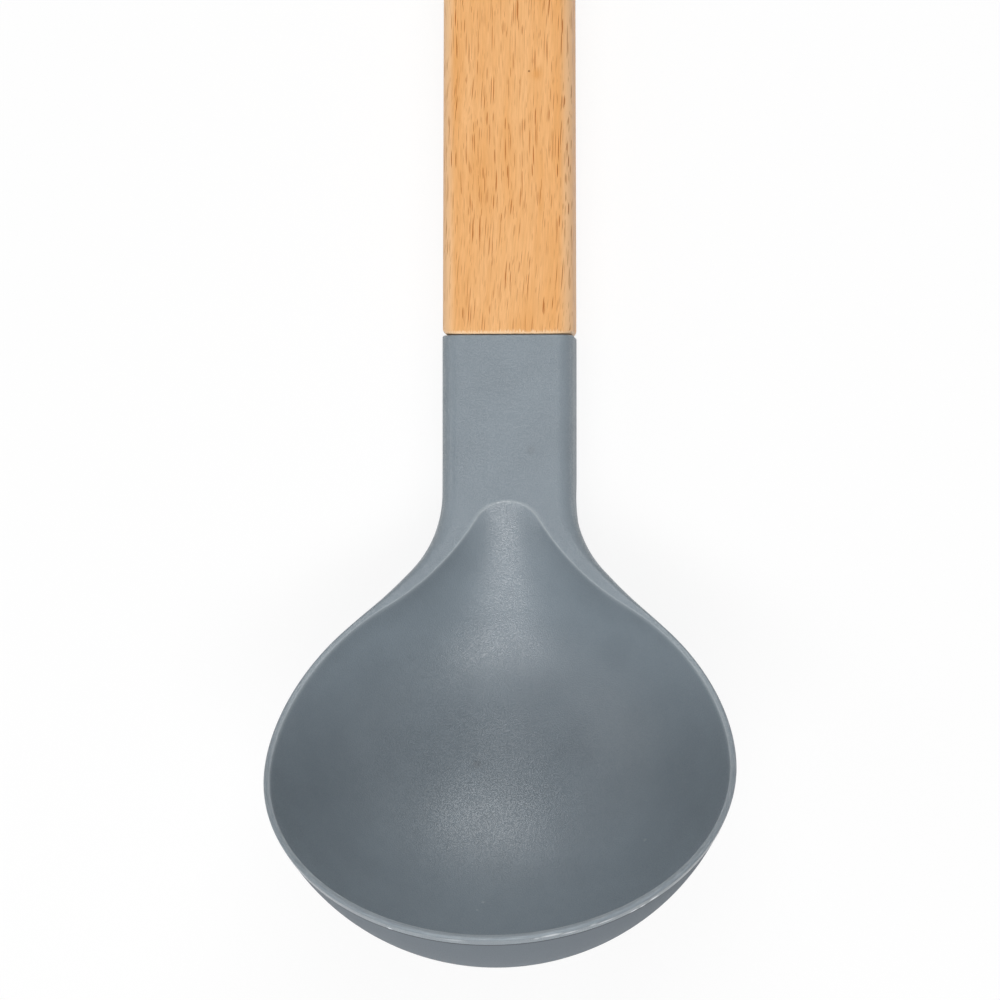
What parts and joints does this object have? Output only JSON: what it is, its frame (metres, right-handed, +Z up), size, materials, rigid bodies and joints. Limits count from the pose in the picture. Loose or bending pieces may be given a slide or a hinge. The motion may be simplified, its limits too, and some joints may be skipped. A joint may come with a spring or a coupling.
{
  "type": "soup ladle",
  "caption": "Soup ladle with a round, deep moulded bowl, a teardrop scoop rising into a hollow neck, and a flat-sided wooden handle with a hanging hole.",
  "frame": {"origin": "middle of the ladle's box, on the surface that it lies on", "axes": "+Y along the handle towards the hanging hole, +Z up out of the bowl, the ladle lying on its back; the lip of the bowl is at -Y"},
  "size_m": [0.0896, 0.3206, 0.069],
  "materials": {
    "grey_nylon": "fine spark-eroded grain, satin",
    "beech": "fine-sanded and oiled, ray flecks along the grain",
    "glue": "hardened glue film, hidden"
  },
  "bodies": {
    "root": {"ladle_head": "grey_nylon", "handle": "beech", "adhesive_bond": "glue"}
  },
  "joints": []
}
